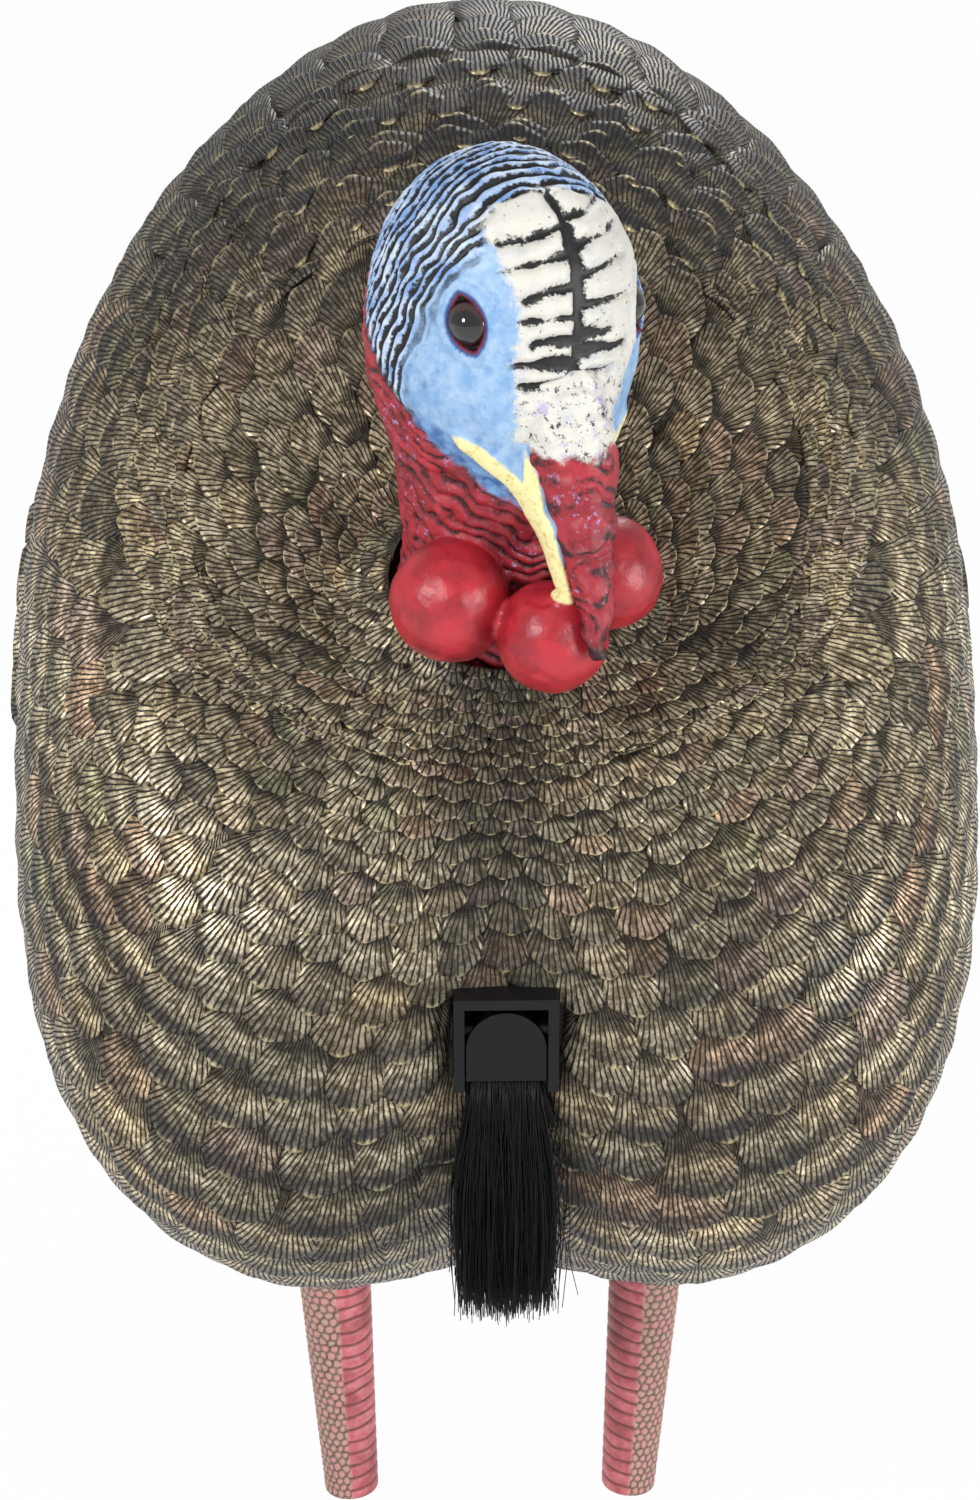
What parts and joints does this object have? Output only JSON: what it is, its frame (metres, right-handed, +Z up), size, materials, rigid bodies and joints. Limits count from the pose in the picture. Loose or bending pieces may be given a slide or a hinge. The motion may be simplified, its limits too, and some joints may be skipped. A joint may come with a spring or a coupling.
{
  "type": "turkey decoy",
  "caption": "Hollow moulded strutting turkey decoy with plug-in head, legs and tail, a hanging bristle beard and a belly socket for one ground stake.",
  "frame": {"origin": "centre of the stake socket's mouth, under the belly", "axes": "+Z up out of the back, -Y the way the bird faces, +X the bird's left"},
  "size_m": [0.3634, 0.8349, 0.6399],
  "materials": {
    "feather_plastic": "painted, satin bronze over dark brown",
    "black_plastic": "moulded black",
    "head_vinyl": "painted soft vinyl, white, blue and red",
    "snood_vinyl": "painted soft vinyl, red",
    "eye_glass": "polished",
    "leg_plastic": "painted pink with brown scales",
    "bristle": "black nylon bristle",
    "ring_rubber": "matt",
    "screw_steel": "zinc plated"
  },
  "bodies": {
    "body": {"body_shell": "feather_plastic", "left_wing": "feather_plastic", "right_wing": "feather_plastic", "wing_studs": "black_plastic", "neck_socket": "black_plastic", "stake_socket": "black_plastic", "tail_socket": "black_plastic", "left_leg_socket": "black_plastic", "right_leg_socket": "black_plastic", "socket_screws": "screw_steel", "beard_bracket": "black_plastic", "beard_pin": "screw_steel"},
    "neck": {"neck_peg": "black_plastic", "neck_peg_ring": "ring_rubber"},
    "head": {"head": "head_vinyl", "snood": "snood_vinyl", "left_eye": "eye_glass", "right_eye": "eye_glass"},
    "beard": {"beard_ferrule": "black_plastic", "beard_bristles": "bristle"},
    "left_leg": {"left_leg": "leg_plastic", "left_leg_ring": "ring_rubber"},
    "right_leg": {"right_leg": "leg_plastic", "right_leg_ring": "ring_rubber"},
    "tail": {"tail_peg": "black_plastic", "tail_ring": "ring_rubber", "tail_feathers": "feather_plastic"}
  },
  "joints": [
    {"name": "head_pull", "type": "slide", "parent": "body", "child": "neck", "axis": [0, -0.5922, 0.8058], "range_m": [0, 0.07]},
    {"name": "head_turn", "type": "hinge", "parent": "neck", "child": "head", "pos_m": [0, -0.16999, 0.3029], "axis": [0, -0.5922, 0.8058], "range_deg": [-118, 62]},
    {"name": "beard_swing", "type": "hinge", "parent": "body", "child": "beard", "pos_m": [0, -0.26789, 0.184], "axis": [-1, 0, 0], "range_deg": [0, 70]},
    {"name": "left_leg_pull", "type": "slide", "parent": "body", "child": "left_leg", "axis": [-0.0551, 0, -0.9985], "range_m": [0, 0.04]},
    {"name": "right_leg_pull", "type": "slide", "parent": "body", "child": "right_leg", "axis": [0.0551, 0, -0.9985], "range_m": [0, 0.04]},
    {"name": "tail_pull", "type": "slide", "parent": "body", "child": "tail", "axis": [0, 0.9842, -0.1773], "range_m": [0, 0.055]}
  ]
}
